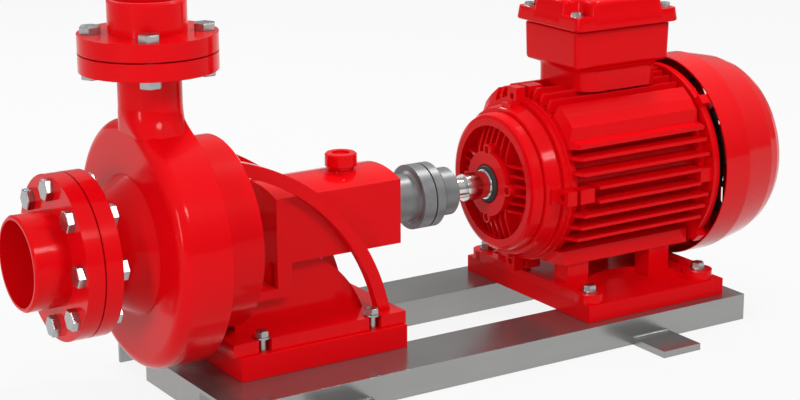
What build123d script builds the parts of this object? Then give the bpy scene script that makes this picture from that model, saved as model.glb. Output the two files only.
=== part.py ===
from build123d import *
import math
import os

os.makedirs("parts", exist_ok=True)

# End-suction fire pump set: centrifugal pump, coupling and electric motor on one steel base.
# Millimetres, Z up, floor at zero, shaft along X with the suction end at -X.
# Stations along the shaft are given from the discharge axis and moved so that the set is centred.

# Overall stations and heights
suction_end = -203.3
cowl_end = 1034.0
x_centre = (suction_end + cowl_end) / 2
shaft_z = 235.0
seat_gap = 0.3
run_clear = 0.05
shaft_axis = Axis((0, 0, shaft_z), (1, 0, 0))

# Base frame
rail_start = 17.0
rail_end = 926.0
rail_width = 101.0
rail_height = 41.5
rail_wall = 6.0
base_half = 180.0
cross_width = 100.0
lug_length = 73.5
lug_width = 70.0
lug_thickness = 10.3
lug_inset = 187.0

# Plinths under the pump and the motor
pump_plinth_start = 77.0
pump_plinth_end = 348.5
pump_plinth_half = 99.0
pump_plinth_height = 34.2
motor_plinth_start = 633.0
motor_plinth_end = 897.0
motor_plinth_half = 161.5
motor_plinth_height = 26.2
pump_seat = rail_height + pump_plinth_height
motor_seat = rail_height + motor_plinth_height

# Flanges: 4 inch suction and 3 inch discharge, with counter flanges
flange_thickness = 24.3
gasket_thickness = 2.0
suction_flange_r = 114.3
suction_pcd = 190.5
suction_bolts_n = 8
suction_bore_r = 51.0
suction_flange_back = -100.4
suction_pipe_r = 66.0
suction_face = suction_flange_back - flange_thickness
suction_joint = suction_face - gasket_thickness
discharge_flange_r = 95.25
discharge_pcd = 152.4
discharge_bolts_n = 4
discharge_bolt_turn = -24.0
discharge_bore_r = 38.5
discharge_flange_base = 241.7
discharge_pipe_r = 54.0
discharge_end = 338.5
discharge_face = discharge_flange_base + flange_thickness
discharge_joint = discharge_face + gasket_thickness
pipe_wall = 6.5
weld_bevel = 3.0
flange_bolt_r = 8.0
bolt_clearance = 1.5
flange_hole_r = flange_bolt_r + bolt_clearance
flange_hex = 27.0
hex_head_height = 10.5
hex_nut_height = 11.5
hex_chamfer = 1.2

# Volute casing and its cover; the heights of the casing are measured from the shaft
casing_front = -40.0
casing_back = 35.0
casing_wall = 9.5
volute_rim = 19.0
cone_base_r = 99.0
cone_neck_r = 60.0
neck_r = 44.0
cover_r = 137.0
cover_back = 98.0
cover_rim = 2.5
cover_spigot_r = 128.0
cover_spigot = 8.0

# Shafts and coupling
pump_shaft_r = 14.0
shaft_run_r = pump_shaft_r + run_clear
coupling_r = 48.6
hub_r = 36.3
hub_start = 367.0
coupling_flange_start = 413.5
coupling_gap_start = 433.9
coupling_gap = 2.4
coupling_gap_end = coupling_gap_start + coupling_gap
coupling_flange_end = 454.4
hub_end = 484.0
motor_spigot_r = 15.5
motor_shaft_r = 21.0
motor_run_r = motor_shaft_r + run_clear
motor_step = 511.0

# Motor stations and radii
cap_front = 556.0
shield_front = 566.6
shield_band = 586.4
frame_start = 621.0
frame_end = 880.0
frame_ring = 12.0
barrel_r = 118.0
ring_r = 127.5
fin_r = 150.0
top_fin_r = 146.0
lug_r = 145.0
lug_half = 11.0
cowl_start = 897.0
cowl_straight = 47.0
cowl_r = 161.5
cowl_sheet = 2.0


def st(station):
    return station - x_centre


def across(station):
    return Plane(origin=(st(station), 0, shaft_z), x_dir=(0, 1, 0), z_dir=(1, 0, 0))


def level(height):
    return Plane(origin=(-x_centre, 0, height))


# Side view: local coordinates are station and height above the floor or above the shaft
side_view = Plane(origin=(-x_centre, 0, 0), x_dir=(1, 0, 0), z_dir=(0, -1, 0))
shaft_view = Plane(origin=(-x_centre, 0, shaft_z), x_dir=(1, 0, 0), z_dir=(0, -1, 0))


def save(piece, name):
    piece.part.label = name
    export_step(piece.part, f"parts/{name}.step")


# A ring turned about the shaft from its stations and radii
def turned(*points, mode=Mode.ADD):
    with BuildSketch(shaft_view) as profile:
        with BuildLine():
            Polyline(*points, close=True)
        make_face()
    revolve(profile.sketch, axis=shaft_axis, mode=mode)


# A round bar or hole along the shaft direction, on the shaft or at the given points around it
def bar(start, end, radius, points=((0, 0),), mode=Mode.ADD):
    with BuildSketch(across(start)) as outline:
        with Locations(*points):
            Circle(radius)
    extrude(outline.sketch, amount=end - start, mode=mode)


# Upright round bars or holes at points given by station and Y
def post(bottom, top, radius, points=((0, 0),), mode=Mode.ADD):
    with BuildSketch(level(bottom)) as outline:
        with Locations(*points):
            Circle(radius)
    extrude(outline.sketch, amount=top - bottom, mode=mode)


def around(radius, count, turn=0.0):
    steps = [math.radians(turn + index * 360 / count) for index in range(count)]
    return [(radius * math.cos(angle), radius * math.sin(angle)) for angle in steps]


def hexagon_r(flats):
    return flats / math.sqrt(3)


# Base: two inverted channel rails joined by two cross members, with anchor lugs at the rail feet
def channel_profile(width, height, wall):
    with BuildSketch(mode=Mode.PRIVATE) as section:
        Rectangle(width, height, align=(Align.CENTER, Align.MIN))
        Rectangle(width - 2 * wall, height - wall, align=(Align.CENTER, Align.MIN), mode=Mode.SUBTRACT)
        fillet(section.vertices().group_by(Axis.Y)[1], wall)
    return section.sketch


for side, name in ((-1, "rail_near"), (1, "rail_far")):
    with BuildPart() as rail:
        with BuildSketch(Plane.YZ.offset(st(rail_start))):
            with Locations((side * (base_half - rail_width / 2), 0)):
                add(channel_profile(rail_width, rail_height, rail_wall))
        extrude(amount=rail_end - rail_start)
    save(rail, name)

cross_half = base_half - rail_width
for start, name in ((rail_start, "cross_member_front"), (rail_end - cross_width, "cross_member_rear")):
    with BuildPart() as cross_member:
        with BuildSketch(Plane.XZ.offset(-cross_half)):
            with Locations((st(start + cross_width / 2), 0)):
                add(channel_profile(cross_width, rail_height, rail_wall))
        extrude(amount=2 * cross_half)
    save(cross_member, name)

for side, name in ((-1, "anchor_lugs_near"), (1, "anchor_lugs_far")):
    with BuildPart() as anchor_lugs:
        for middle in (rail_start + lug_inset, rail_end - lug_inset):
            with Locations((st(middle), side * (base_half + lug_length / 2), lug_thickness / 2)):
                Box(lug_width, lug_length, lug_thickness)
    save(anchor_lugs, name)


# Plinths: plain machined blocks on the rails
def plinth(start, end, half, height, name):
    with BuildPart() as block:
        with Locations((st((start + end) / 2), 0, rail_height)):
            Box(end - start, 2 * half, height, align=(Align.CENTER, Align.CENTER, Align.MIN))
        chamfer(block.edges().filter_by(GeomType.LINE), seat_gap)
    save(block, name)


plinth(pump_plinth_start, pump_plinth_end, pump_plinth_half, pump_plinth_height, "pump_plinth")
plinth(motor_plinth_start, motor_plinth_end, motor_plinth_half, motor_plinth_height, "motor_plinth")

# Volute casing: spiral outline around the shaft whose near side flares into the discharge neck on top
spiral_radii = ((42, 163.5), (60, 165.0), (90, 166.0), (120, 168.0), (150, 173.0), (180, 177.0),
                (210, 178.0), (240, 177.0), (270, 175.5), (300, 175.5), (318, 176.0), (330, 176.0), (343, 175.0))
flare_points = ((24.0, 184.0), (30.0, 176.0), (43.0, 166.0), (59.0, 157.0), (76.0, 147.0))
neck_sections = ((156.0, 37.2, 59.0, 40.0, 24.0), (166.0, 40.0, 52.5, 40.0, 31.0),
                 (178.0, 42.7, 46.5, 41.5, 38.0), (192.0, neck_r, neck_r, neck_r, neck_r - seat_gap))
cone_profile = ((suction_face, 0), (suction_face, suction_flange_r), (suction_flange_back, suction_flange_r),
                (suction_flange_back, cone_neck_r), (casing_front - 1, cone_base_r),
                (casing_front + 4, cone_base_r), (casing_front + 4, 0))
cavity_front = casing_front + casing_wall
cavity_back = casing_back - cover_spigot
cavity_r = 154.0


def spiral():
    points = []
    for turn, radius in spiral_radii:
        angle = math.radians(turn + 90)
        points.append((radius * math.cos(angle), radius * math.sin(angle)))
    return points


with BuildPart() as volute_casing:
    with BuildSketch(across(casing_front)):
        with BuildLine():
            flare = [(-y, z) for y, z in flare_points]
            outline = Spline(*flare, *spiral())
            Line(outline @ 1, outline @ 0)
        make_face()
    extrude(amount=casing_back - casing_front)
    rim = volute_casing.edges().group_by(Axis.X)[0].sort_by(SortBy.LENGTH)[-1]
    fillet(rim, volute_rim)
    turned(*cone_profile)
    bar(cavity_front, cavity_back, cavity_r, mode=Mode.SUBTRACT)
    bar(cavity_back, casing_back, cover_spigot_r, mode=Mode.SUBTRACT)
    bar(suction_face, cavity_front, suction_bore_r, mode=Mode.SUBTRACT)
    casing_middle = (casing_front + casing_back) / 2
    low, high = neck_sections[0][0], neck_sections[-1][0]
    for height, half_x, near, far, corner in neck_sections:
        with BuildSketch(level(shaft_z + height)):
            with Locations((casing_middle * (high - height) / (high - low), (far - near) / 2)):
                RectangleRounded(2 * half_x, near + far, corner)
    loft()
    post(shaft_z + high, shaft_z + discharge_flange_base, neck_r)
    post(shaft_z + discharge_flange_base, shaft_z + discharge_face, discharge_flange_r)
    post(shaft_z + low - casing_wall, shaft_z + discharge_face, discharge_bore_r, mode=Mode.SUBTRACT)
    bar(suction_face, suction_flange_back, flange_hole_r, around(suction_pcd / 2, suction_bolts_n),
        mode=Mode.SUBTRACT)
    post(shaft_z + discharge_flange_base, shaft_z + discharge_face, flange_hole_r,
         around(discharge_pcd / 2, discharge_bolts_n, discharge_bolt_turn), mode=Mode.SUBTRACT)
save(volute_casing, "volute_casing")

# Casing cover behind the volute, with the shaft hole
with BuildPart() as casing_cover:
    spigot_r = cover_spigot_r - seat_gap
    turned((cavity_back, shaft_run_r), (cavity_back, spigot_r), (casing_back, spigot_r),
           (casing_back, cover_r), (cover_back - cover_rim, cover_r), (cover_back, cover_r - cover_rim),
           (cover_back, shaft_run_r))
save(casing_cover, "casing_cover")


# Counter flanges with a short weld neck, as a turned profile bored through
def weld_neck_profile(joint, end, flange_r, pipe_r):
    direction = math.copysign(1, end - joint)
    bore_r = pipe_r - pipe_wall
    return ((joint, bore_r), (joint, flange_r), (joint + direction * flange_thickness, flange_r),
            (joint + direction * flange_thickness, pipe_r), (end - direction * weld_bevel, pipe_r),
            (end, pipe_r - weld_bevel), (end, bore_r))


with BuildPart() as suction_counter_flange:
    turned(*weld_neck_profile(suction_joint, suction_end, suction_flange_r, suction_pipe_r))
    bar(suction_joint - flange_thickness, suction_joint, flange_hole_r,
        around(suction_pcd / 2, suction_bolts_n), mode=Mode.SUBTRACT)
save(suction_counter_flange, "suction_counter_flange")

with BuildPart() as discharge_counter_flange:
    with BuildSketch(shaft_view):
        with BuildLine():
            neck_points = weld_neck_profile(discharge_joint, discharge_end, discharge_flange_r,
                                            discharge_pipe_r)
            Polyline(*[(radius, height) for height, radius in neck_points], close=True)
        make_face()
    revolve(axis=Axis((-x_centre, 0, shaft_z), (0, 0, 1)))
    post(shaft_z + discharge_joint, shaft_z + discharge_joint + flange_thickness, flange_hole_r,
         around(discharge_pcd / 2, discharge_bolts_n, discharge_bolt_turn), mode=Mode.SUBTRACT)
save(discharge_counter_flange, "discharge_counter_flange")

# Gaskets inside the bolt circles
gasket_edge = 2.0
with BuildPart() as suction_gasket:
    bar(suction_joint, suction_face, suction_pcd / 2 - flange_hole_r - gasket_edge)
    bar(suction_joint, suction_face, suction_pipe_r - pipe_wall + gasket_edge, mode=Mode.SUBTRACT)
save(suction_gasket, "suction_gasket")

with BuildPart() as discharge_gasket:
    post(shaft_z + discharge_face, shaft_z + discharge_joint,
         discharge_pcd / 2 - flange_hole_r - gasket_edge)
    post(shaft_z + discharge_face, shaft_z + discharge_joint, discharge_pipe_r - pipe_wall + gasket_edge,
         mode=Mode.SUBTRACT)
save(discharge_gasket, "discharge_gasket")


# Flange bolts: a hexagon head, a shank through both flanges and a nut flush with the shank end
def flange_bolts(plane, points, name):
    grip = 2 * flange_thickness + gasket_thickness
    with BuildPart() as bolts:
        with BuildSketch(plane.offset(-grip - hex_nut_height)):
            with Locations(*points):
                Circle(flange_bolt_r)
        extrude(amount=grip + hex_nut_height)
        for start, height in ((0, hex_head_height), (-grip - hex_nut_height, hex_nut_height)):
            with BuildSketch(plane.offset(start)):
                with Locations(*points):
                    RegularPolygon(hexagon_r(flange_hex), 6)
            extrude(amount=height)
        outer_faces = bolts.faces().filter_by(plane).group_by(Axis(plane.origin, plane.z_dir))
        chamfer([face.outer_wire().edges() for face in outer_faces[0] + outer_faces[-1]], hex_chamfer)
    save(bolts, name)


suction_head_plane = across(suction_joint - flange_thickness).rotated((0, 180, 0))
discharge_head_plane = level(shaft_z + discharge_joint + flange_thickness)
flange_bolts(suction_head_plane, around(suction_pcd / 2, suction_bolts_n), "suction_bolts")
flange_bolts(discharge_head_plane, around(discharge_pcd / 2, discharge_bolts_n, discharge_bolt_turn),
             "discharge_bolts")

# Impeller: closed wheel with six swept vanes between its two shrouds
impeller_r = 105.0
eye_r = 44.0
impeller_front = -26.0
impeller_back = 18.0
outlet_width = 18.0
shroud = 4.0
shroud_slope = 6.0
eye_length = 12.0
vane_count = 6
vane_turn = 5.0
vane_sweep = 54.0
vane_points = 7
impeller_hub_r = 24.0
hub_recess = 8.0
nut_flats = 36.0
nut_length = 14.0
impeller_hub_front = impeller_front + hub_recess
back_shroud = impeller_back - shroud
outlet_front = back_shroud - outlet_width


def vane_curve(index, turn):
    points = []
    for step in range(vane_points):
        share = step / (vane_points - 1)
        radius = eye_r - 2 + share * (impeller_r - eye_r)
        angle = math.radians(index * 360 / vane_count + turn + share * vane_sweep)
        points.append((radius * math.cos(angle), radius * math.sin(angle)))
    return points


with BuildPart() as impeller:
    turned((impeller_back, pump_shaft_r), (impeller_back, impeller_r), (back_shroud, impeller_r),
           (back_shroud - shroud_slope, impeller_hub_r + hub_recess), (impeller_hub_front, impeller_hub_r),
           (impeller_hub_front, pump_shaft_r))
    turned((impeller_front, eye_r), (impeller_front, eye_r + shroud),
           (impeller_front + eye_length, eye_r + shroud + shroud_slope), (outlet_front - shroud, impeller_r),
           (outlet_front, impeller_r), (impeller_front + eye_length + shroud, eye_r + shroud_slope))
    for index in range(vane_count):
        with BuildSketch(across(back_shroud)):
            with BuildLine():
                inner = Spline(vane_curve(index, 0))
                outer = Spline(vane_curve(index, vane_turn))
                Line(inner @ 0, outer @ 0)
                Line(inner @ 1, outer @ 1)
            make_face()
        extrude(amount=outlet_front - shroud / 2 - back_shroud)
save(impeller, "impeller")

# Pump shaft from the impeller to the coupling, and the nut that holds the impeller
shaft_setback = 4.0
with BuildPart() as pump_shaft:
    bar(impeller_hub_front, coupling_gap_start - shaft_setback, pump_shaft_r)
save(pump_shaft, "pump_shaft")

with BuildPart() as impeller_nut:
    with BuildSketch(across(impeller_hub_front)):
        RegularPolygon(hexagon_r(nut_flats), 6)
    extrude(amount=-nut_length)
save(impeller_nut, "impeller_nut")

# Shaft seal gland on the back of the cover, held by two nuts inside the lantern
gland_r = 34.0
gland_thickness = 9.0
gland_boss_r = 23.0
gland_boss = 14.0
gland_nut_flats = 17.0
gland_nut_height = 8.0
gland_face = cover_back + gland_thickness
with BuildPart() as seal_gland:
    turned((cover_back, shaft_run_r), (cover_back, gland_r), (gland_face, gland_r),
           (gland_face, gland_boss_r), (gland_face + gland_boss, gland_boss_r),
           (gland_face + gland_boss, shaft_run_r))
save(seal_gland, "seal_gland")

with BuildPart() as gland_nuts:
    with BuildSketch(across(gland_face)):
        with Locations((gland_r - 1, 0), (1 - gland_r, 0)):
            RegularPolygon(hexagon_r(gland_nut_flats), 6)
        Circle(gland_boss_r + seat_gap, mode=Mode.SUBTRACT)
    extrude(amount=gland_nut_height)
save(gland_nuts, "gland_nuts")

# Bearing bracket: foot, bearing housing, lantern walls with a sill, middle web and two curved braces
foot_front = 68.0
foot_back = 350.0
foot_half = 92.5
foot_thickness = 19.3
foot_top = pump_seat + foot_thickness
foot_slots = (118.0, 298.0)
foot_bolt_y = 83.0
slot_width = 20.0
house_end = 362.7
house_half = 60.0
house_low = -47.5
house_edge = 48.0
crown_rise = 11.5
lantern_wall = 9.0
window_end = 157.5
strip_end = 180.8
sill_low = -96.0
sill_height = 14.0
web_half = 40.0
web_top = 226.0
web_middle = (278.0, -89.0)
web_foot = 308.0
brace_centre = (8.0, -208.0)
brace_inner_r = 314.0
brace_width = 19.0
brace_y = 15.0
filler_station = 298.5
filler_boss_r = 22.0
crown_top = shaft_z + house_edge + crown_rise
filler_seat = crown_top + 1.0
foot_points = [(station, side * foot_bolt_y) for station in foot_slots for side in (-1, 1)]

with BuildPart() as bearing_bracket:
    with BuildSketch(level(pump_seat)):
        with Locations(((foot_front + foot_back) / 2, 0)):
            Rectangle(foot_back - foot_front, 2 * foot_half)
        for station, y in foot_points:
            with Locations((station, y)):
                Circle(slot_width / 2, mode=Mode.SUBTRACT)
            with Locations((station, y + math.copysign(slot_width, y))):
                Rectangle(slot_width, 2 * slot_width, mode=Mode.SUBTRACT)
    extrude(amount=foot_thickness)
    with BuildSketch(across(window_end)):
        with BuildLine():
            crown = ThreePointArc((-house_half, house_edge), (0, house_edge + crown_rise),
                                  (house_half, house_edge))
            Polyline(crown @ 1, (house_half, house_low), (-house_half, house_low), crown @ 0)
        make_face()
    extrude(amount=house_end - window_end)
    post(shaft_z + house_edge, filler_seat, filler_boss_r, [(filler_station, 0)])
    with BuildSketch(side_view.offset(-web_half)):
        with BuildLine():
            sill_z = shaft_z + sill_low
            web_arc = ThreePointArc((web_top, shaft_z + house_low), (web_middle[0], shaft_z + web_middle[1]),
                                    (web_foot, foot_top))
            Polyline(web_arc @ 1, (cover_back, foot_top), (cover_back, sill_z + rail_wall),
                     (window_end, sill_z + rail_wall), (window_end, shaft_z + house_low), web_arc @ 0)
        make_face()
    extrude(amount=2 * web_half)
    with BuildSketch(level(shaft_z + sill_low)):
        with Locations(((cover_back + strip_end) / 2, 0)):
            Rectangle(strip_end - cover_back, 2 * house_half)
    extrude(amount=sill_height)
    for side in (-1, 1):
        with BuildSketch(side_view.offset(side * house_half)):
            with Locations(((window_end + strip_end) / 2, shaft_z + sill_low)):
                Rectangle(strip_end - window_end, house_low - sill_low + lantern_wall,
                          align=(Align.CENTER, Align.MIN))
        extrude(amount=-side * lantern_wall)
        with BuildSketch(side_view.offset(side * house_half)):
            with Locations((brace_centre[0], shaft_z + brace_centre[1])):
                Circle(brace_inner_r + brace_width)
                Circle(brace_inner_r, mode=Mode.SUBTRACT)
            with Locations((cover_back, foot_top)):
                Rectangle(2 * brace_inner_r, 2 * brace_inner_r, align=(Align.MIN, Align.MIN),
                          mode=Mode.INTERSECT)
        extrude(amount=side * brace_y)
    bar(cover_back, house_end, shaft_run_r, mode=Mode.SUBTRACT)
save(bearing_bracket, "bearing_bracket")

# Dark shaft seal between the bearing housing and the coupling hub
seal_r = 33.0
with BuildPart() as bearing_seal:
    turned((house_end + seat_gap, pump_shaft_r), (house_end + seat_gap, seal_r),
           (hub_start, seal_r - 3), (hub_start, pump_shaft_r))
save(bearing_seal, "bearing_seal")

# Foot bolts with washers
foot_bolt_r = 6.0
foot_washer_r = 12.0
washer_thickness = 2.5
foot_hex = 18.0
foot_hex_height = 8.5


def foot_bolts(points, seat, depth, name):
    with BuildPart() as bolts:
        post(seat - depth, seat, foot_bolt_r, points)
        post(seat, seat + washer_thickness, foot_washer_r, points)
        with BuildSketch(level(seat + washer_thickness)):
            with Locations(*points):
                RegularPolygon(hexagon_r(foot_hex), 6)
        extrude(amount=foot_hex_height)
        chamfer(bolts.faces().group_by(Axis.Z)[-1].edges(), hex_chamfer)
    save(bolts, name)


foot_bolts(foot_points, foot_top, foot_thickness, "pump_foot_bolts")

# Oil filler cap: a knurl-free turned cap on a short neck, with a shallow recess on top
filler_cap_r = 23.5
filler_neck = 5.5
filler_height = 18.5
filler_recess_r = 13.0
with BuildPart() as oil_filler_cap:
    neck_top = filler_seat + filler_neck
    post(filler_seat, neck_top, filler_boss_r - 3, [(filler_station, 0)])
    post(neck_top, neck_top + filler_height, filler_cap_r, [(filler_station, 0)])
    chamfer(oil_filler_cap.faces().sort_by(Axis.Z)[-1].edges(), 2)
    post(neck_top + filler_height - 3, neck_top + filler_height, filler_recess_r, [(filler_station, 0)],
         mode=Mode.SUBTRACT)
save(oil_filler_cap, "oil_filler_cap")

# Coupling: a half on each shaft and the thin element between their flanges
hub_fillet = 4.0
hub_chamfer = 2.0
element_inset = 5.0


def coupling_half(points, bore_r, name):
    with BuildPart() as half:
        turned((points[0][0], bore_r), *points, (points[-1][0], bore_r))
    save(half, name)


coupling_half([(hub_start, hub_r - hub_chamfer), (hub_start + hub_chamfer, hub_r),
               (coupling_flange_start - hub_fillet, hub_r), (coupling_flange_start, hub_r + hub_fillet),
               (coupling_flange_start, coupling_r), (coupling_gap_start, coupling_r)],
              pump_shaft_r, "coupling_half_pump")
coupling_half([(coupling_gap_start, coupling_r - element_inset),
               (coupling_gap_end, coupling_r - element_inset)], pump_shaft_r, "coupling_element")
coupling_half([(coupling_gap_end, coupling_r), (coupling_flange_end - hub_fillet, coupling_r),
               (coupling_flange_end, coupling_r - hub_fillet), (coupling_flange_end, hub_r + hub_fillet),
               (coupling_flange_end + hub_fillet, hub_r), (hub_end - hub_chamfer, hub_r),
               (hub_end, hub_r - hub_chamfer)], motor_spigot_r, "coupling_half_motor")

# Motor shaft, from the coupling through the frame to the fan, with its seal ring at the bearing cap
fan_shaft_r = 17.0
fan_shaft_end = 985.0
rear_shield_thickness = 12.0
shoulder_r = 23.0
shoulder = 2.0
v_ring_r = 28.5
v_ring = 3.5
fan_step = frame_end + rear_shield_thickness
v_ring_end = cap_front - seat_gap
shoulder_end = v_ring_end - v_ring
with BuildPart() as motor_shaft:
    turned((coupling_gap_end + shaft_setback, 0), (coupling_gap_end + shaft_setback, motor_spigot_r),
           (motor_step, motor_spigot_r), (motor_step, motor_shaft_r - 1), (motor_step + 1, motor_shaft_r),
           (shoulder_end - shoulder, motor_shaft_r), (shoulder_end - shoulder, shoulder_r),
           (shoulder_end, shoulder_r), (shoulder_end, motor_shaft_r), (fan_step, motor_shaft_r),
           (fan_step, fan_shaft_r), (fan_shaft_end, fan_shaft_r), (fan_shaft_end, 0))
save(motor_shaft, "motor_shaft")

with BuildPart() as motor_shaft_seal:
    turned((shoulder_end, motor_shaft_r), (shoulder_end, v_ring_r - 2), (v_ring_end, v_ring_r),
           (v_ring_end, motor_shaft_r))
save(motor_shaft_seal, "motor_shaft_seal")

# Motor frame: finned barrel with end rings, lug blocks, corner panels, bottom block and feet
side_fins = (55.0, 33.0, -31.0, -51.0, -71.0)
lug_fins = (11.0, -11.0)
top_fins = (24.0, 42.0, 60.0, 79.0)
fin_thickness = 5.0
fin_end = 874.0
fin_slope = 12.0
lug_fin_start = 658.0
lug_fin_end = 856.0
frame_lug_start = 626.0
frame_lug_end = 652.0
rear_lug_start = 858.0
panel_points = ((60.0, 60.0), (78.0, 127.0), (98.0, 112.0), (112.0, 98.0), (114.0, 79.0), (131.0, 76.0),
                (131.0, 69.0))
block_half = 97.0
block_top = -97.0
block_low = -120.0
foot_plate = 8.0
pad_height = 14.3
pad_r = 22.5
motor_foot_stations = (653.0, 867.0)
motor_foot_y = 135.0
foot_edge = 632.0
foot_strip = 16.0
foot_waist = 48.0
pillar_starts = (644.0, 803.0)
pillar_length = 40.0
pillar_inner = 58.0
pillar_outer = 92.0
motor_middle = sum(motor_foot_stations) / 2
motor_foot_points = [(station, side * motor_foot_y) for station in motor_foot_stations for side in (-1, 1)]
strip_middles = (foot_edge + foot_strip / 2, 2 * motor_middle - foot_edge - foot_strip / 2)


def fin_reach(offset, tip_r):
    return math.sqrt(tip_r ** 2 - (abs(offset) + fin_thickness / 2) ** 2)


def lug_blocks(start, end, low_r, high_r, mode=Mode.ADD):
    with BuildSketch(across(start)) as blocks:
        with PolarLocations((low_r + high_r) / 2, 4):
            Rectangle(high_r - low_r, 2 * lug_half)
    extrude(blocks.sketch, amount=end - start, mode=mode)


with BuildPart() as motor_frame:
    bar(frame_start, frame_end, barrel_r)
    with BuildSketch(across(frame_start + frame_ring / 3)):
        for offset in side_fins:
            with Locations((0, offset)):
                Rectangle(2 * fin_reach(offset, fin_r), fin_thickness)
        for offset in top_fins:
            for side in (-1, 1):
                with Locations((side * offset, 0)):
                    Rectangle(fin_thickness, fin_reach(offset, top_fin_r), align=(Align.CENTER, Align.MIN))
        for side in (-1, 1):
            with BuildLine():
                Polyline(*[(side * y, z) for y, z in panel_points], close=True)
            make_face()
        with Locations((0, (block_low + block_top) / 2)):
            Rectangle(2 * block_half, block_top - block_low)
    extrude(amount=fin_end - frame_start - frame_ring / 3)
    with BuildSketch(across(lug_fin_start)):
        for offset in lug_fins:
            with Locations((0, offset)):
                Rectangle(2 * fin_reach(offset, fin_r), fin_thickness)
    extrude(amount=lug_fin_end - lug_fin_start)
    turned((frame_start, fin_r + fin_slope), (frame_start, ring_r), (frame_start + fin_slope, fin_r),
           (frame_start + fin_slope, fin_r + fin_slope), mode=Mode.SUBTRACT)
    turned((frame_start, 0), (frame_start, ring_r - 1), (frame_start + 1, ring_r),
           (frame_start + frame_ring, ring_r), (frame_start + frame_ring, 0))
    bar(frame_end - frame_ring, frame_end, ring_r)
    lug_blocks(frame_lug_start, frame_lug_end, barrel_r - fin_thickness, lug_r)
    lug_blocks(rear_lug_start, frame_end, barrel_r - fin_thickness, lug_r)
    with BuildSketch(level(motor_seat)):
        for side in (-1, 1):
            with BuildLine():
                start, end = motor_foot_stations
                far_edge = 2 * motor_middle - foot_edge
                waist = ThreePointArc((start + pad_r, side * motor_foot_y), (motor_middle, side * foot_waist),
                                      (end - pad_r, side * motor_foot_y))
                Polyline(waist @ 1, (end, side * (motor_foot_y + pad_r / 2)), (far_edge, side * pillar_outer),
                         (far_edge, 0), (foot_edge, 0), (foot_edge, side * pillar_outer),
                         (start, side * (motor_foot_y + pad_r / 2)), waist @ 0)
            make_face()
    extrude(amount=foot_plate)
    with BuildSketch(level(motor_seat)):
        with Locations(*motor_foot_points):
            Circle(pad_r)
        with Locations(*[(middle, 0) for middle in strip_middles]):
            Rectangle(foot_strip, 2 * motor_foot_y)
    extrude(amount=pad_height)
    with BuildSketch(level(motor_seat)):
        for start in pillar_starts:
            for side in (-1, 1):
                with Locations((start + pillar_length / 2, side * (pillar_inner + pillar_outer) / 2)):
                    Rectangle(pillar_length, pillar_outer - pillar_inner)
    extrude(amount=shaft_z + block_low + seat_gap - motor_seat)
    post(motor_seat, motor_seat + pad_height, foot_bolt_r + seat_gap, motor_foot_points, mode=Mode.SUBTRACT)
    bar(frame_start, frame_end, motor_run_r, mode=Mode.SUBTRACT)
save(motor_frame, "motor_frame")
foot_bolts(motor_foot_points, motor_seat + pad_height, pad_height, "motor_foot_bolts")

# Drive end shield: flat front ring, rounded corner, band, lugs and a recessed face with ribs
ring_inner_r = 88.0
ring_outer_r = 106.0
ring_corner = 7.0
groove = 1.5
band_r = 114.0
band_back_r = 119.0
band_end = 608.0
shield_edge_r = 125.5
recess_floor = 592.0
shield_hub_r = 50.0
cap_hole_r = 53.0
ear_r = 9.0
rib_offsets = (7.0, 21.0, 35.0)
rib_thickness = 4.0
rib_outer_front = 577.0
shield_lug_front = 602.0
shield_lug_back = 619.0
lug_pad_front = 591.0
lug_pad_r = 121.0
lug_hole_r = 5.0
lug_hole_at = 131.0
lug_hole_depth = 8.0
cap_screw_r = 3.2
cap_screw_depth = 6.0
shield_back = frame_start

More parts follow.
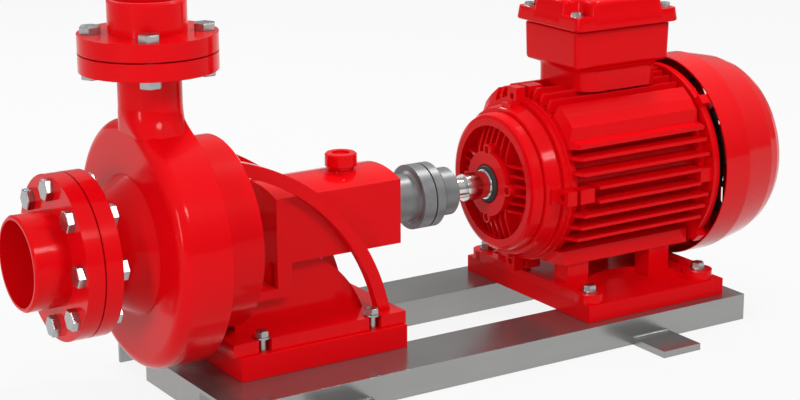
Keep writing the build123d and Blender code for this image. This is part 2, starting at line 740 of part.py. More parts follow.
with BuildPart() as drive_end_shield:
    with BuildSketch(across(shield_front)):
        for offset in rib_offsets:
            for side in (-1, 1):
                with Locations((side * offset, 0)):
                    Rectangle(rib_thickness, 2 * (ring_inner_r + 2))
                with Locations((0, side * offset)):
                    Rectangle(2 * (ring_inner_r + 2), rib_thickness)
        Circle(ring_inner_r + 1, mode=Mode.INTERSECT)
        Circle(shield_hub_r - 1, mode=Mode.SUBTRACT)
        sector = 2 * ring_inner_r - 2 * rib_offsets[-1] - rib_thickness
        with GridLocations(2 * ring_inner_r, 2 * ring_inner_r, 2, 2):
            Rectangle(sector, sector, mode=Mode.SUBTRACT)
    extrude(amount=recess_floor - shield_front)
    rib_slope = (rib_outer_front - shield_front) / (ring_inner_r - shield_hub_r - ear_r)
    rib_back = shield_front + rib_slope * (shield_edge_r - shield_hub_r - ear_r)
    turned((shield_front, shield_hub_r + ear_r), (shield_front, shield_edge_r), (rib_back, shield_edge_r),
           mode=Mode.SUBTRACT)
    turned((shield_front, motor_run_r), (shield_front, shield_hub_r), (recess_floor, shield_hub_r),
           (recess_floor, motor_run_r))
    turned((shield_front, ring_inner_r), (shield_front, ring_outer_r - ring_corner),
           (shield_front + ring_corner * 0.3, ring_outer_r - ring_corner * 0.3),
           (shield_front + ring_corner, ring_outer_r), (shield_band - groove, ring_outer_r + 2),
           (shield_band - groove, ring_outer_r), (shield_band, ring_outer_r), (shield_band, band_r - groove),
           (shield_band + groove, band_r), (band_end, band_back_r), (band_end, band_back_r + groove),
           (band_end + groove, band_back_r + groove), (band_end + groove, band_back_r),
           (band_end + 2 * groove, band_back_r), (band_end + 2 * groove, shield_edge_r),
           (shield_back, shield_edge_r), (shield_back, motor_run_r), (recess_floor, motor_run_r),
           (recess_floor, ring_inner_r))
    bar(shield_front, recess_floor, ear_r, around(cap_hole_r, 4))
    lug_blocks(shield_lug_front, shield_lug_back, barrel_r - fin_thickness, lug_r)
    lug_blocks(lug_pad_front, shield_lug_front, ring_outer_r, lug_pad_r)
    bar(shield_lug_front, shield_lug_front + lug_hole_depth, lug_hole_r, around(lug_hole_at, 4),
        mode=Mode.SUBTRACT)
    bar(shield_front, shield_front + cap_screw_depth, cap_screw_r + seat_gap, around(cap_hole_r, 4),
        mode=Mode.SUBTRACT)
save(drive_end_shield, "drive_end_shield")

# Bearing cap with four ears, and its countersunk screws
cap_r = 50.0
cap_gap_r = 30.0
cap_counterbore_r = 5.5
cap_counterbore = 4.0
with BuildPart() as motor_bearing_cap:
    bar(cap_front, shield_front, ear_r, around(cap_hole_r, 4))
    bar(cap_front, shield_front, cap_r)
    bar(cap_front, shield_front, cap_gap_r, mode=Mode.SUBTRACT)
    bar(cap_front, shield_front, cap_screw_r + seat_gap, around(cap_hole_r, 4), mode=Mode.SUBTRACT)
    bar(cap_front, cap_front + cap_counterbore, cap_counterbore_r, around(cap_hole_r, 4), mode=Mode.SUBTRACT)
save(motor_bearing_cap, "motor_bearing_cap")

with BuildPart() as bearing_cap_screws:
    bar(cap_front + cap_counterbore, shield_front + cap_screw_depth, cap_screw_r, around(cap_hole_r, 4))
save(bearing_cap_screws, "bearing_cap_screws")

# Rear end shield with the four arms that carry the cowl
arm_width = 16.0
arm_length = 18.0
arm_inner_r = 60.0
arm_reach = cowl_r - cowl_sheet - seat_gap
cooling_gap = 9.0
rear_shield_r = arm_reach - cooling_gap
with BuildPart() as rear_end_shield:
    bar(frame_end, frame_end + rear_shield_thickness, rear_shield_r)
    with BuildSketch(across(frame_end)):
        with PolarLocations((arm_inner_r + arm_reach) / 2, 4, 45):
            Rectangle(arm_reach - arm_inner_r + arm_width / 2, arm_width)
        Circle(arm_reach, mode=Mode.INTERSECT)
    extrude(amount=rear_shield_thickness + arm_length)
    bar(frame_end, frame_end + rear_shield_thickness + arm_length, motor_run_r, mode=Mode.SUBTRACT)
save(rear_end_shield, "rear_end_shield")

# Cooling fan: hub, back plate and eight straight blades
fan_start = 925.0
fan_length = 47.0
fan_plate = 4.0
fan_r = 118.0
blade_length = 40.0
blade_thickness = 4.0
blade_count = 8
fan_hub_r = 30.0
with BuildPart() as fan:
    turned((fan_start, fan_shaft_r), (fan_start, fan_r), (fan_start + fan_plate, fan_r),
           (fan_start + fan_plate, fan_hub_r + 2), (fan_start + fan_length, fan_hub_r - 2),
           (fan_start + fan_length, fan_shaft_r))
    with BuildSketch(across(fan_start)):
        with PolarLocations((fan_hub_r + fan_r) / 2, blade_count):
            Rectangle(fan_r - fan_hub_r + 2, blade_thickness)
        Circle(fan_r - seat_gap, mode=Mode.INTERSECT)
    extrude(amount=blade_length)
save(fan, "fan")

# Fan cowl: a drawn sheet shell with a coned, rounded back and two rings of air slots
cowl_profile = ((cowl_start + cowl_straight, cowl_r), (1000.0, 150.0), (1018.0, 143.0), (1029.0, 136.0),
                (cowl_end, 127.0))
slot_width_cowl = 5.0
slot_rings = ((48.0, 34.0, 16), (97.0, 44.0, 32))


def cowl_line(inset):
    front = Line((cowl_start, cowl_r - inset), (cowl_start + cowl_straight, cowl_r - inset))
    Polyline(front @ 1, *[(station, radius - inset) for station, radius in cowl_profile[1:-1]],
             (cowl_end - inset, cowl_profile[-1][1] - inset), (cowl_end - inset, 0))
    return front @ 0


with BuildPart() as fan_cowl:
    with BuildSketch(shaft_view):
        with BuildLine():
            outer_start = cowl_line(0)
            inner_start = cowl_line(cowl_sheet)
            Line(outer_start, inner_start)
            Line((cowl_end, 0), (cowl_end - cowl_sheet, 0))
        make_face()
    revolve(axis=shaft_axis)
    with BuildSketch(across(cowl_end)) as slots:
        for radius, length, count in slot_rings:
            with PolarLocations(radius, count):
                SlotOverall(length, slot_width_cowl)
    extrude(slots.sketch, amount=-2 * cowl_sheet, mode=Mode.SUBTRACT)
save(fan_cowl, "fan_cowl")

# Terminal box on its pedestal, with an overhanging lid, corner screws and two blanked cable entries
box_start = 675.0
box_end = 853.0
box_half = 62.8
box_low = 173.8
box_height = 55.2
box_corner = 5.0
lid_over = 10.5
lid_corner = 12.0
lid_height = 41.0
lid_chamfer = 8.0
pocket_r = 11.0
pocket_depth = 12.0
lid_screw_r = 5.0
pedestal_start = 697.0
pedestal_end = 833.0
pedestal_half = 55.0
entry_r = 22.0
entry_depth = 9.0
entry_spacing = 70.0
box_middle = (box_start + box_end) / 2
box_floor = shaft_z + box_low
box_rim = box_floor + box_height
lid_top = box_rim + lid_height

with BuildPart() as terminal_box_pedestal:
    with BuildSketch(level(shaft_z + barrel_r)):
        with Locations((box_middle, 0)):
            Rectangle(pedestal_end - pedestal_start, 2 * pedestal_half)
    extrude(amount=box_low - barrel_r)
    fillet(terminal_box_pedestal.edges().filter_by(Axis.Z), box_corner)
    bar(pedestal_start - box_corner, pedestal_end + box_corner, top_fin_r + seat_gap, mode=Mode.SUBTRACT)
save(terminal_box_pedestal, "terminal_box_pedestal")

with BuildPart() as terminal_box:
    with BuildSketch(level(box_floor)):
        with Locations((box_middle, 0)):
            RectangleRounded(box_end - box_start, 2 * box_half, box_corner)
    extrude(amount=box_height)
save(terminal_box, "terminal_box")

with BuildPart() as terminal_box_lid:
    with BuildSketch(level(box_rim)):
        with Locations((box_middle, 0)):
            RectangleRounded(box_end - box_start + 2 * lid_over, 2 * (box_half + lid_over), lid_corner)
    extrude(amount=lid_height)
    chamfer(terminal_box_lid.faces().sort_by(Axis.Z)[-1].edges(), lid_chamfer)
    screw_points = [(box_middle + sx * (box_end - box_start) / 2, sy * (box_half - lid_screw_r / 2))
                    for sx in (-1, 1) for sy in (-1, 1)]
    post(lid_top - pocket_depth, lid_top, pocket_r, screw_points, mode=Mode.SUBTRACT)
save(terminal_box_lid, "terminal_box_lid")

with BuildPart() as terminal_lid_screws:
    post(lid_top - pocket_depth, lid_top - pocket_depth + lid_screw_r, lid_screw_r, screw_points)
save(terminal_lid_screws, "terminal_lid_screws")

with BuildPart() as cable_entry_plugs:
    with BuildSketch(Plane(origin=(st(box_middle), box_half, box_floor + box_height / 2), x_dir=(1, 0, 0),
                           z_dir=(0, 1, 0))):
        with GridLocations(entry_spacing, 0, 2, 1):
            RegularPolygon(entry_r, 6)
    extrude(amount=entry_depth)
save(cable_entry_plugs, "cable_entry_plugs")
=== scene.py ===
import math

import bpy
import numpy as np
from mathutils import Matrix, Vector


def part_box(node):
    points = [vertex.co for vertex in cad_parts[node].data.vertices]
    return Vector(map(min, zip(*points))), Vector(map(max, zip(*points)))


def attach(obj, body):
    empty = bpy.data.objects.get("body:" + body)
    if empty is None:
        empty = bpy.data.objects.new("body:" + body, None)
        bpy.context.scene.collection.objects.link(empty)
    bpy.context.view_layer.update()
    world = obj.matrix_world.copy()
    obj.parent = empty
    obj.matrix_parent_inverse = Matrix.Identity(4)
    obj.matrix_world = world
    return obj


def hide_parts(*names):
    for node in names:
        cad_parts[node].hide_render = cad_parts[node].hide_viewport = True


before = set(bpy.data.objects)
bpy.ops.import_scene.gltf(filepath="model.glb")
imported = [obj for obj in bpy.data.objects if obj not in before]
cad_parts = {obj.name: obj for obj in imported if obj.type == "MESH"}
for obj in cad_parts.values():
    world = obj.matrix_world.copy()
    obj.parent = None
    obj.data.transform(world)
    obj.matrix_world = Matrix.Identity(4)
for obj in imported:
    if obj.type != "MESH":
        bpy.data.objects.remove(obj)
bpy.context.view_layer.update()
shaft_z = 0.235


# Base frame: two channel rails, two cross members and four anchor lugs, sawn from hot rolled steel
# and welded. Ground smooth and given a thin clear grey coat that still mirrors what stands on it.
class Level:
    """One socket of a finish. Sums, differences, products and powers of levels add Math nodes."""

    def __init__(self, finish, socket):
        self.finish = finish
        self.socket = socket

    def _math(self, operation, first, second):
        return self.finish.node("ShaderNodeMath", {"operation": operation}, {0: first, 1: second})

    def __add__(self, other):
        return self._math("ADD", self, other)

    def __sub__(self, other):
        return self._math("SUBTRACT", self, other)

    def __mul__(self, other):
        return self._math("MULTIPLY", self, other)

    def __pow__(self, other):
        return self._math("POWER", self, other)

    __radd__ = __add__


class Finish:
    """A procedural material on Object coordinates, in metres. Its uniform values sit on the shader's
    own sockets."""

    def __init__(self, name, uniform=None):
        self.material = bpy.data.materials.new(name)
        self.material.use_nodes = True
        self.tree = self.material.node_tree
        self.shader = self.tree.nodes["Principled BSDF"]
        for socket, value in (uniform or {}).items():
            self.shader.inputs[socket].default_value = value
        self.place = self.node("ShaderNodeTexCoord", output="Object")

    def node(self, kind, settings=None, sockets=None, output=0):
        """Adds one node: its settings first, then the value or link of each named socket."""
        made = self.tree.nodes.new(kind)
        for name, value in (settings or {}).items():
            setattr(made, name, value)
        for name, value in (sockets or {}).items():
            if isinstance(value, Level):
                self.tree.links.new(value.socket, made.inputs[name])
            else:
                made.inputs[name].default_value = value
        return Level(self, made.outputs[output])

    def noise(self, scale, detail=2.0, stretch=(1, 1, 1)):
        """Fractal noise of that many patches a metre, stretched along the axes."""
        spot = self.node("ShaderNodeMapping", {}, {"Vector": self.place, "Scale": stretch})
        return self.node("ShaderNodeTexNoise", {}, {"Vector": spot, "Scale": scale, "Detail": detail})

    def tint(self, mask, first, second):
        """A colour that goes from first to second as the mask goes from 0 to 1."""
        colour_out = 2
        colours = {0: mask, 6: (*first, 1), 7: (*second, 1)}
        self.feed("Base Color", self.node("ShaderNodeMix", {"data_type": "RGBA"}, colours, colour_out))

    def relief(self, height, depth, edge):
        """Bumps of that depth in metres, over edges that are rounded by the radius edge."""
        rounded = self.node("ShaderNodeBevel", {"samples": 4}, {"Radius": edge})
        normal = self.node("ShaderNodeBump", {}, {"Height": height, "Distance": depth, "Normal": rounded})
        self.feed("Normal", normal)

    def feed(self, name, level):
        """Links a level into one socket of the shader."""
        self.tree.links.new(level.socket, self.shader.inputs[name])

    def dress(self, *nodes):
        """Puts the material on CAD nodes."""
        for node in nodes:
            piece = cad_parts[node]
            piece.data.materials.clear()
            piece.data.materials.append(self.material)


base_steel = Finish("coated_base_steel", {"Metallic": 0.85})
drawn_lines = base_steel.noise(60, 3, (0.06, 1, 1))
blotches = base_steel.noise(9, 2)
base_steel.tint(blotches * 0.5 + drawn_lines * 0.5, (0.30, 0.30, 0.295), (0.37, 0.37, 0.362))
base_steel.feed("Roughness", 0.17 + blotches * 0.1)
base_steel.relief(drawn_lines, 0.00006, 0.0008)
base_steel.dress("rail_near", "rail_far", "cross_member_front", "cross_member_rear", "anchor_lugs_near",
                 "anchor_lugs_far")


sharp_from = math.radians(32)


def skin(name, *stacks):
    """Closed skins over stacks of rings: quads between neighbouring rings, and triangles from each end
    ring to its mean."""
    points, faces = [], []
    for rings in stacks:
        count, around = rings.shape[:2]
        first = sum(len(part) for part in points)
        points.append(np.vstack((rings.reshape(-1, 3), rings[:1].mean(1), rings[-1:].mean(1))))
        here = np.arange(around)
        after = np.roll(here, -1)
        rows = np.arange(count - 1)[:, None] * around
        quads = np.stack((rows + here, rows + after, rows + around + after, rows + around + here), -1)
        foot = np.full(around, count * around)
        last = (count - 1) * around
        faces += (quads.reshape(-1, 4) + first).tolist()
        faces += (np.stack((after, here, foot), -1) + first).tolist()
        faces += (np.stack((last + here, last + after, foot + 1), -1) + first).tolist()
    mesh = bpy.data.meshes.new(name)
    mesh.from_pydata(np.vstack(points).tolist(), [], faces)
    mesh.shade_smooth()
    mesh.set_sharp_from_angle(angle=sharp_from)
    piece = bpy.data.objects.new(name, mesh)
    bpy.context.collection.objects.link(piece)
    return piece


bead_leg, bead_step, ripple = 0.0038, 0.0008, 0.004


def weld_bead(start, end, first, second, leg):
    """Rings along a joint: its root, then a quarter round from one face to the other whose radius is
    the leg, times one plus a twelfth of a sine once each ripple, times the square root of the distance
    to the nearer end in legs while that is under one."""
    start, end, first, second = (np.array(value, float) for value in (start, end, first, second))
    length = np.linalg.norm(end - start)
    if np.cross(first, second) @ (end - start) < 0:
        first, second = second, first
    along = np.linspace(0, length, int(length / bead_step) + 1)[:, None, None]
    turn = np.linspace(0, math.pi / 2, 9)[None, :, None]
    fade = np.sqrt(np.clip(np.minimum(along, length - along) / leg, 0.02, 1))
    radius = leg * fade * (1 + np.sin(along * 2 * math.pi / ripple) / 12)
    arc = radius * (np.cos(turn) * first + np.sin(turn) * second)
    root = start + along / length * (end - start)
    return np.concatenate((root, root + arc), 1)


lug_wide = 0.070
bead_foot, bead_head = 0.001, 0.004
beads = []
for member, side in (("cross_member_front", 1), ("cross_member_rear", -1)):
    low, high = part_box(member)
    corner_x = high[0] if side > 0 else low[0]
    for corner_y, inward in ((low[1], 1), (high[1], -1)):
        beads.append(weld_bead((corner_x, corner_y, low[2] + bead_foot),
                               (corner_x, corner_y, high[2] - bead_head),
                               (side, 0, 0), (0, inward, 0), bead_leg))
for lugs, rail, outward in (("anchor_lugs_near", "rail_near", -1), ("anchor_lugs_far", "rail_far", 1)):
    lug_low, lug_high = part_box(lugs)
    rail_low, rail_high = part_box(rail)
    face_y = rail_low[1] if outward < 0 else rail_high[1]
    for left in (lug_low[0], lug_high[0] - lug_wide):
        beads.append(weld_bead((left, face_y, lug_high[2]), (left + lug_wide, face_y, lug_high[2]),
                               (0, outward, 0), (0, 0, 1), bead_leg))
weld_beads = skin("weld_beads", *beads)
weld_beads.data.materials.append(base_steel.material)
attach(weld_beads, "stator")

# Plinths under pump and motor: plain steel blocks, machined on top and sprayed with the same red
# enamel as the castings, so their faces are flatter and a little glossier than cast ones.
enamel_red = (0.80, 0.0018, 0.0055)
enamel_deep = (0.72, 0.0014, 0.0045)


def enamel(name, coat, coat_ior, coat_roughness):
    """Red enamel: the pigment reflects next to nothing, the clear coat over it does the shining."""
    return Finish(name, {"Specular IOR Level": 0.02, "Coat Weight": coat, "Coat IOR": coat_ior,
                         "Coat Roughness": coat_roughness})


plate_enamel = enamel("red_enamel_on_plate", 0.7, 1.14, 0.18)
spray = plate_enamel.noise(420, 2)
plate_enamel.tint(plate_enamel.noise(6, 2), enamel_deep, enamel_red)
plate_enamel.feed("Roughness", 0.30 + plate_enamel.noise(30, 2) * 0.08)
plate_enamel.relief(spray, 0.00005, 0.0012)
plate_enamel.dress("pump_plinth", "motor_plinth")

# Pump castings: volute casing, cover, counter flanges and bearing bracket in grey iron. The skin of
# the sand mould still shows as a soft unevenness under the thick red enamel.
cast_enamel = enamel("red_enamel_on_casting", 0.9, 1.18, 0.11)
mould_skin = cast_enamel.noise(26, 2)
sand_grain = cast_enamel.noise(520, 3)
cast_enamel.tint(cast_enamel.noise(5, 2), enamel_deep, enamel_red)
cast_enamel.feed("Roughness", 0.28 + sand_grain * 0.10)
cast_enamel.relief(mould_skin * 0.8 + sand_grain * 0.2, 0.00045, 0.0022)
cast_enamel.dress("volute_casing", "casing_cover", "bearing_bracket", "suction_counter_flange",
                  "discharge_counter_flange", "oil_filler_cap")

# Pad at the root of the discharge neck: cast with the casing, it thickens the back wall between neck
# and cover, where the discharge bore comes closest to the outside. The CAD casing is open there: its
# bore breaks through the wall, a fault of the CAD.
pad_bottom, pad_top = shaft_z + 0.132, shaft_z + 0.180
pad_half_wide, pad_face, pad_inner = 0.027, 0.0418, 0.03865
pad_half_arc = 31
draw_in_high, draw_in_deep = 0.012, 0.0015


def neck_pad(bottom, top, half_wide, face, inner):
    """Rings at rising heights. Each is an arc just outside the bore, then a curve whose depth is the
    square root of one less the fourth power of the distance across. The top rings draw in under the
    neck by a square."""
    height = np.linspace(bottom, top, 45)[:, None]
    arc = np.radians(np.linspace(pad_half_arc, -pad_half_arc, 40))[None, :]
    across = np.linspace(-1, 1, 60)[None, :]
    draw_in = np.clip((height - top + draw_in_high) / draw_in_high, 0, 1) ** 2 * draw_in_deep
    foot = inner * math.cos(math.radians(pad_half_arc))
    outer_x = foot + (face - draw_in - foot) * np.sqrt(1 - across ** 4)
    x = np.concatenate((inner * np.cos(arc) + 0 * height, outer_x), 1)
    y = np.concatenate((inner * np.sin(arc) + 0 * height, half_wide * across + 0 * height), 1)
    return np.stack((x, y, height + 0 * x), -1)


neck_low, neck_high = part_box("discharge_gasket")
pad_rings = neck_pad(pad_bottom, pad_top, pad_half_wide, pad_face, pad_inner)
neck_root_pad = skin("neck_root_pad", pad_rings + ((neck_low[0] + neck_high[0]) / 2, 0, 0))
neck_root_pad.data.materials.append(cast_enamel.material)
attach(neck_root_pad, "stator")

# Impeller and seal gland: unpainted cast iron inside the casing and the lantern, dark and dry.
bare_iron = Finish("bare_grey_iron", {"Metallic": 0.6})
iron_grain = bare_iron.noise(380, 4)
bare_iron.tint(iron_grain, (0.09, 0.088, 0.085), (0.17, 0.165, 0.16))
bare_iron.feed("Roughness", 0.5 + iron_grain * 0.2)
bare_iron.relief(iron_grain, 0.0002, 0.0008)
bare_iron.dress("impeller", "seal_gland")

# Gaskets, shaft seals and the coupling element: black rubber and fibre, dull, with a fine grain.
black_rubber = Finish("black_rubber")
rubber_grain = black_rubber.noise(900, 2)
black_rubber.tint(rubber_grain, (0.014, 0.014, 0.014), (0.032, 0.032, 0.033))
black_rubber.feed("Roughness", 0.55 + rubber_grain * 0.2)
black_rubber.relief(rubber_grain, 0.00005, 0.0003)
black_rubber.dress("suction_gasket", "discharge_gasket", "bearing_seal", "motor_shaft_seal",
                   "coupling_element")

# Bolts, nuts and screws: zinc plated steel, bright, with faint blue-grey clouding from the bath.
zinc_plate = Finish("zinc_plated_steel", {"Metallic": 1.0})
clouding = zinc_plate.noise(140, 3)
zinc_plate.tint(clouding, (0.34, 0.345, 0.35), (0.52, 0.52, 0.51))
zinc_plate.feed("Roughness", 0.22 + clouding * 0.14)
zinc_plate.relief(zinc_plate.noise(1400, 2), 0.00004, 0.0006)
zinc_plate.dress("suction_bolts", "discharge_bolts", "pump_foot_bolts", "motor_foot_bolts", "gland_nuts",
                 "bearing_cap_screws", "terminal_lid_screws", "cable_entry_plugs")

# Coupling halves: turned steel hubs with a dull grey phosphate finish; the lathe has left rings
# around the shaft on every turned face.
phosphate = Finish("phosphated_coupling", {"Metallic": 0.35})
place_y = phosphate.node("ShaderNodeSeparateXYZ", {}, {"Vector": phosphate.place}, "Y")
place_z = phosphate.node("ShaderNodeSeparateXYZ", {}, {"Vector": phosphate.place}, "Z")
from_shaft = (place_y ** 2 + (place_z - shaft_z) ** 2) ** 0.5
phosphate_cloud = phosphate.noise(70, 3)
phosphate.tint(phosphate_cloud, (0.17, 0.175, 0.18), (0.25, 0.255, 0.26))
phosphate.feed("Roughness", 0.34 + phosphate_cloud * 0.12)
rings_turned = 9000.0
turning = phosphate.node("ShaderNodeMath", {"operation": "SINE"}, {0: from_shaft * rings_turned})
phosphate.relief(turning, 0.00001, 0.0009)
phosphate.dress("coupling_half_pump", "coupling_half_motor")

# Set screws: one in each coupling hub over its key, black oxide steel with a hexagon socket.
black_oxide = Finish("black_oxide_steel", {"Metallic": 0.8})
oxide_bloom = black_oxide.noise(260, 2)
black_oxide.tint(oxide_bloom, (0.020, 0.020, 0.022), (0.045, 0.045, 0.048))
black_oxide.feed("Roughness", 0.32 + oxide_bloom * 0.15)
black_oxide.relief(oxide_bloom, 0.00003, 0.0003)
hex_turn = np.linspace(0, 2 * math.pi, 96, endpoint=False)
hex_flat = np.cos((hex_turn + math.pi / 6) % (math.pi / 3) - math.pi / 6)


def screw_rings(*steps):
    """One ring around +Z for each (height, reach). The reach is one radius or one for each turn."""
    return np.stack([
        np.stack((reach * np.cos(hex_turn), reach * np.sin(hex_turn), height + 0 * hex_turn), -1)
        for height, reach in steps])


socket_screw = screw_rings((-0.0020, 0.0050), (0.0014, 0.0050), (0.0019, 0.0045), (0.0020, 0.0034),
                           (0.0018, 0.0025 / hex_flat), (0.0003, 0.0025 / hex_flat))
hub_r = 0.0363
lean = math.radians(-50)
leaned = np.array(((1, 0, 0), (0, math.cos(lean), math.sin(lean)), (0, -math.sin(lean), math.cos(lean))))
hub_screws = []
for half, from_end in (("coupling_half_pump", 0.020), ("coupling_half_motor", -0.013)):
    half_low, half_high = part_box(half)
    hub_x = (half_low[0] if from_end > 0 else half_high[0]) + from_end
    hub_screws.append((socket_screw + (0, 0, hub_r)) @ leaned + (hub_x, 0, shaft_z))
set_screws = skin("coupling_set_screws", *hub_screws)
set_screws.data.materials.append(black_oxide.material)
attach(set_screws, "rotor")

# Shafts and impeller nut: ground and polished steel, with hair-fine rings from the grinding wheel.
ground_steel = Finish("ground_shaft_steel", {"Metallic": 1.0})
wheel_rings = ground_steel.noise(900, 2, (1, 0.02, 0.02))
ground_steel.tint(wheel_rings, (0.62, 0.62, 0.61), (0.76, 0.76, 0.75))
ground_steel.feed("Roughness", 0.09 + wheel_rings * 0.08)
ground_steel.relief(wheel_rings, 0.00001, 0.0005)
ground_steel.dress("pump_shaft", "impeller_nut", "motor_shaft")

# Motor castings: ribbed frame, end shields, bearing cap and the terminal box, die and sand cast and
# enamelled red; a finer skin than the pump's.
motor_enamel = enamel("red_enamel_on_motor", 0.9, 1.17, 0.11)
motor_skin = motor_enamel.noise(34, 2)
motor_grain = motor_enamel.noise(640, 2)
motor_enamel.tint(motor_enamel.noise(6, 2), enamel_deep, enamel_red)
motor_enamel.feed("Roughness", 0.26 + motor_grain * 0.08)
motor_enamel.relief(motor_skin * 0.8 + motor_grain * 0.2, 0.0003, 0.0014)
motor_enamel.dress("motor_frame", "drive_end_shield", "motor_bearing_cap", "rear_end_shield")

# Terminal box, lid and pedestal: die cast aluminium with drafted sides and generous corners,
# enamelled with the motor. The lid steps down at its corners to the ledges that its screws sit on.
box_enamel = enamel("red_enamel_on_terminal_box", 0.9, 1.17, 0.1)
box_skin = box_enamel.noise(38, 2)
box_enamel.tint(box_enamel.noise(7, 2), enamel_deep, enamel_red)
box_enamel.feed("Roughness", 0.26 + box_enamel.noise(640, 2) * 0.08)
box_enamel.relief(box_skin, 0.00022, 0.0026)


def rounded_slab(x, y, half_x, half_y, corner):
    """Distance to a rectangle with round corners: outside, the length of what lies beyond the inner
    rectangle, inside, the larger of the two differences, both less the corner radius."""
    beyond_x = np.abs(x) - half_x + corner
    beyond_y = np.abs(y) - half_y + corner
    outside = np.hypot(np.maximum(beyond_x, 0), np.maximum(beyond_y, 0))
    return outside + np.minimum(np.maximum(beyond_x, beyond_y), 0) - corner


def cast_rings(middle, profile, outline, rays=560):
    """One ring per (height, inset) of the profile. Along each ray from the middle, halving finds where
    the outline's distance equals minus the inset."""
    turn = np.linspace(0, 2 * math.pi, rays, endpoint=False)[None, :]
    height, inset = (np.array(column)[:, None] for column in zip(*[step[:2] for step in profile]))
    stepped = np.array([len(step) > 2 for step in profile])[:, None]
    near, far = np.zeros((len(profile), rays)), np.full((len(profile), rays), 0.2)
    for _ in range(30):
        radius = (near + far) / 2
        inside = outline(radius * np.cos(turn), radius * np.sin(turn), stepped) < -inset
        near, far = np.where(inside, radius, near), np.where(inside, far, radius)
    return np.stack((middle[0] + near * np.cos(turn), middle[1] + near * np.sin(turn),
                     middle[2] + height + 0 * near), -1)


def edge_round(height, inset, radius, start, end):
    """Steps of a round edge: a quarter circle of that radius between two angles in degrees."""
    turns = np.radians(np.linspace(start, end, 7))
    return [(height + radius * math.sin(turn), inset - radius * math.cos(turn)) for turn in turns]


def outline_of(half_x, half_y, corner):
    """The outline function of one rounded rectangle, the same at every height."""
    return lambda x, y, stepped: rounded_slab(x, y, half_x, half_y, corner)


low, high = (np.array(corner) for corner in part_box("terminal_box"))
box_half_x, box_half_y, box_corner = 0.0912, 0.0680, 0.009
box_draft, box_foot_r, box_rim_r = 0.0015, 0.007, 0.0022
lid_gap, gap_inset = 0.0035, 0.0050
box_middle = np.array(((low[0] + high[0]) / 2 - 0.001, (low[1] + high[1]) / 2, low[2] - 0.0025))
lid_middle = box_middle + (-0.001, 0, 0.0620)
box_tall = lid_middle[2] - box_middle[2] - lid_gap
box_profile = ([(0.0, 0.016)] + edge_round(box_foot_r, box_foot_r + box_draft, box_foot_r, -90, 0)
               + edge_round(box_tall - box_rim_r, box_rim_r, box_rim_r, 0, 90)
               + [(box_tall, gap_inset), (box_tall + lid_gap + 0.001, gap_inset)])
box_body = skin("terminal_box_casting", cast_rings(
    box_middle, box_profile, outline_of(box_half_x, box_half_y, box_corner)))
pedestal_low, pedestal_high = (np.array(corner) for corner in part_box("terminal_box_pedestal"))
pedestal_half = (pedestal_high - pedestal_low) / 2
pedestal_tall = box_middle[2] - pedestal_low[2]
flare_from = pedestal_tall - 0.010
flare_high, flare_wide = 0.011, 0.008
pedestal_profile = [(0.0, 0.0), (flare_from, 0.0)] + [
    (flare_from + flare_high * math.sin(turn), -flare_wide * (1 - math.cos(turn)))
    for turn in np.radians(np.linspace(15, 90, 6))]
pedestal = skin("terminal_pedestal_casting",
                cast_rings((pedestal_low[0] + pedestal_half[0], 0.0, pedestal_low[2]), pedestal_profile,
                           outline_of(pedestal_half[0] + 0.007, pedestal_half[1] + 0.011, 0.030)))
lid_half_x, lid_half_y, lid_corner, lid_tall = 0.0982, 0.0822, 0.013, 0.0440
lid_ledge, lid_foot_r, lid_top_r = 0.0208, 0.003, 0.0085
ledge_inset, shoulder_inset = 0.0030, 0.0056
notch_x, notch_y, notch_r, notch_blend = 0.027, 0.040, 0.012, 0.010


def lid_outline(x, y, stepped):
    """The overhanging rectangle. Above the ledges it is also outside a round-cornered block at each
    corner, joined by a maximum that is smoothed over notch_blend."""
    edge = rounded_slab(x, y, lid_half_x, lid_half_y, lid_corner)
    block = rounded_slab(np.abs(x) - lid_half_x, np.abs(y) - lid_half_y, notch_x, notch_y, notch_r)
    mix = np.maximum(notch_blend - np.abs(edge + block), 0)
    return np.where(stepped, np.maximum(edge, -block) + mix ** 2 / (4 * notch_blend), edge)


lid_profile = ([(0.0, 0.014)] + edge_round(lid_foot_r, lid_foot_r, lid_foot_r, -90, 0)
               + [(lid_ledge - 0.0002, ledge_inset), (lid_ledge, ledge_inset + 0.0001, True),
                  (lid_tall - lid_top_r, shoulder_inset, True)]
               + [(*step, True) for step in
                  edge_round(lid_tall - lid_top_r, shoulder_inset + lid_top_r, lid_top_r, 0, 90)]
               + [(lid_tall + 0.0005, 0.034, True)])
lid = skin("terminal_lid_casting", cast_rings(lid_middle, lid_profile, lid_outline))
for casting, node in ((box_body, "terminal_box"), (lid, "terminal_box_lid"),
                      (pedestal, "terminal_box_pedestal")):
    casting.data.materials.append(box_enamel.material)
    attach(casting, "stator")
    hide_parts(node)

# Lid screws: zinc plated hexagon heads on the four ledges of the lid.
washer_r, half_flats = 0.0096, 0.0080
hexagon_head = screw_rings((-0.001, washer_r), (0.0008, washer_r), (0.0010, half_flats / hex_flat),
                           (0.0050, np.minimum(half_flats / hex_flat, 0.0090)), (0.0060, 0.0078),
                           (0.0061, 0.0060))
screw_x, screw_y = lid_half_x - 0.0140, lid_half_y - 0.0230
lid_screws = skin("terminal_lid_screw_heads", *[
    hexagon_head + lid_middle + (side_x * screw_x, side_y * screw_y, lid_ledge)
    for side_x in (-1, 1) for side_y in (-1, 1)])
lid_screws.data.materials.append(zinc_plate.material)
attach(lid_screws, "stator")
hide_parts("terminal_lid_screws")

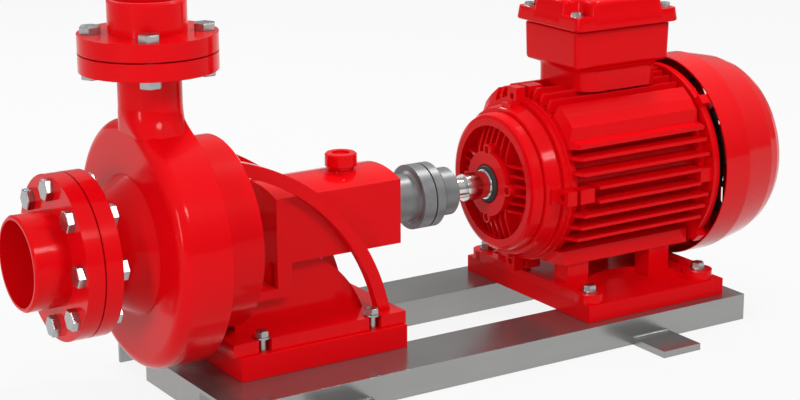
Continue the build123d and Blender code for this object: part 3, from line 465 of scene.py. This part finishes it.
# Fan cowl: deep drawn sheet steel, sprayed red. The draw leaves the sheet smooth, so it shines most.
sheet_enamel = enamel("red_enamel_on_sheet", 1.0, 1.25, 0.12)
peel = sheet_enamel.noise(330, 1)
sheet_enamel.tint(sheet_enamel.noise(5, 2), enamel_deep, enamel_red)
sheet_enamel.feed("Roughness", 0.24 + sheet_enamel.noise(40, 2) * 0.06)
sheet_enamel.relief(peel, 0.00004, 0.004)
sheet_enamel.dress("fan_cowl")

# Cooling fan behind the cowl slots: black moulded plastic with the fine spark grain of its tool.
fan_plastic = Finish("black_fan_plastic")
spark_grain = fan_plastic.noise(800, 2)
fan_plastic.tint(spark_grain, (0.018, 0.018, 0.019), (0.030, 0.030, 0.031))
fan_plastic.feed("Roughness", 0.42 + spark_grain * 0.16)
fan_plastic.relief(spark_grain, 0.00006, 0.0006)
fan_plastic.dress("fan")

# Camera at the photograph's viewing angle: a long lens, a little above the pump's suction end.
camera_at = Vector((-1.53825, -2.3956, 1.0108))
azimuth, elevation, roll = (math.radians(turn) for turn in (-32.44, 15.33, -0.26))
back = Vector((math.sin(azimuth) * math.cos(elevation), -math.cos(azimuth) * math.cos(elevation),
               math.sin(elevation)))
right = (-back).cross(Vector((0, 0, 1))).normalized()
up = right.cross(-back)
right, up = right * math.cos(roll) + up * math.sin(roll), up * math.cos(roll) - right * math.sin(roll)
picture_wide, focal_pixels, sensor_wide = 800, 1983.37, 36
camera_data = bpy.data.cameras.new("camera")
camera_data.sensor_width = sensor_wide
camera_data.lens = sensor_wide * focal_pixels / picture_wide
camera = bpy.data.objects.new("camera", camera_data)
camera.matrix_world = Matrix.Translation(camera_at) @ Matrix((right, up, back)).transposed().to_4x4()
bpy.context.collection.objects.link(camera)
bpy.context.scene.camera = camera

# Studio floor: a pale sweep that the base stands on. Most of what camera, glossy and transmitted rays
# see of it is its own white, and the rest takes the light, so the object's soft shadow stays on it.
floor_half, floor_grey, own_white = 30.0, 0.55, 0.88
floor_mesh = bpy.data.meshes.new("floor")
floor_mesh.from_pydata([(-floor_half, -floor_half, 0), (floor_half, -floor_half, 0),
                        (floor_half, floor_half, 0), (-floor_half, floor_half, 0)], [], [(0, 1, 2, 3)])
floor = bpy.data.objects.new("floor", floor_mesh)
bpy.context.collection.objects.link(floor)
white_sweep = Finish("white_sweep", {"Roughness": 0.7})
white_sweep.shader.inputs["Base Color"].default_value = (floor_grey, floor_grey, floor_grey, 1)
seen = (white_sweep.node("ShaderNodeLightPath", output="Is Camera Ray")
        + white_sweep.node("ShaderNodeLightPath", output="Is Glossy Ray")
        + white_sweep.node("ShaderNodeLightPath", output="Is Transmission Ray"))
glow = white_sweep.node("ShaderNodeEmission", {}, {"Color": (1, 1, 1, 1), "Strength": 1.0})
surface = white_sweep.node("ShaderNodeMixShader", {}, {0: seen * own_white, 2: glow})
white_sweep.tree.links.new(white_sweep.shader.outputs[0], surface.socket.node.inputs[1])
white_sweep.tree.links.new(surface.socket, white_sweep.tree.nodes["Material Output"].inputs["Surface"])
floor.data.materials.append(white_sweep.material)

# Studio light: a grey tent that brightens overhead, a key softbox above the camera, one over the
# motor, a long one behind the object, and a tall strip beside the suction end.
tent = bpy.data.worlds.new("studio")
bpy.context.scene.world = tent
tent.use_nodes = True
tent_nodes = tent.node_tree.nodes
tent_links = tent.node_tree.links
direction = tent_nodes.new("ShaderNodeTexCoord")
height_part = tent_nodes.new("ShaderNodeSeparateXYZ")
fall = tent_nodes.new("ShaderNodeMapRange")
tent_links.new(direction.outputs["Generated"], height_part.inputs[0])
tent_links.new(height_part.outputs["Z"], fall.inputs["Value"])
for socket, value in (("From Min", 0.0), ("From Max", 0.8), ("To Min", 0.19), ("To Max", 0.70)):
    fall.inputs[socket].default_value = value
tent_links.new(fall.outputs[0], tent_nodes["Background"].inputs["Strength"])
tent_nodes["Background"].inputs["Color"].default_value = (1, 1, 1, 1)


def softbox(name, at, wide, tall, power):
    """A rectangular area lamp at one point, turned to face the middle of the object."""
    lamp = bpy.data.lights.new(name, "AREA")
    lamp.shape = "RECTANGLE"
    lamp.size = wide
    lamp.size_y = tall
    lamp.energy = power
    box = bpy.data.objects.new(name, lamp)
    towards = Vector((0, 0, shaft_z)) - Vector(at)
    box.matrix_world = Matrix.Translation(at) @ towards.to_track_quat("-Z", "Y").to_matrix().to_4x4()
    bpy.context.collection.objects.link(box)


softbox("key", (0.5, -2.9, 2.7), 0.7, 0.7, 46)
softbox("over", (1.5, 0.3, 2.9), 0.5, 0.5, 36)
softbox("behind", (-0.2, 2.7, 2.2), 1.2, 0.4, 34)
softbox("strip", (-2.9, -1.2, 1.0), 0.30, 1.3, 28)

bpy.context.scene.view_settings.view_transform = "Standard"
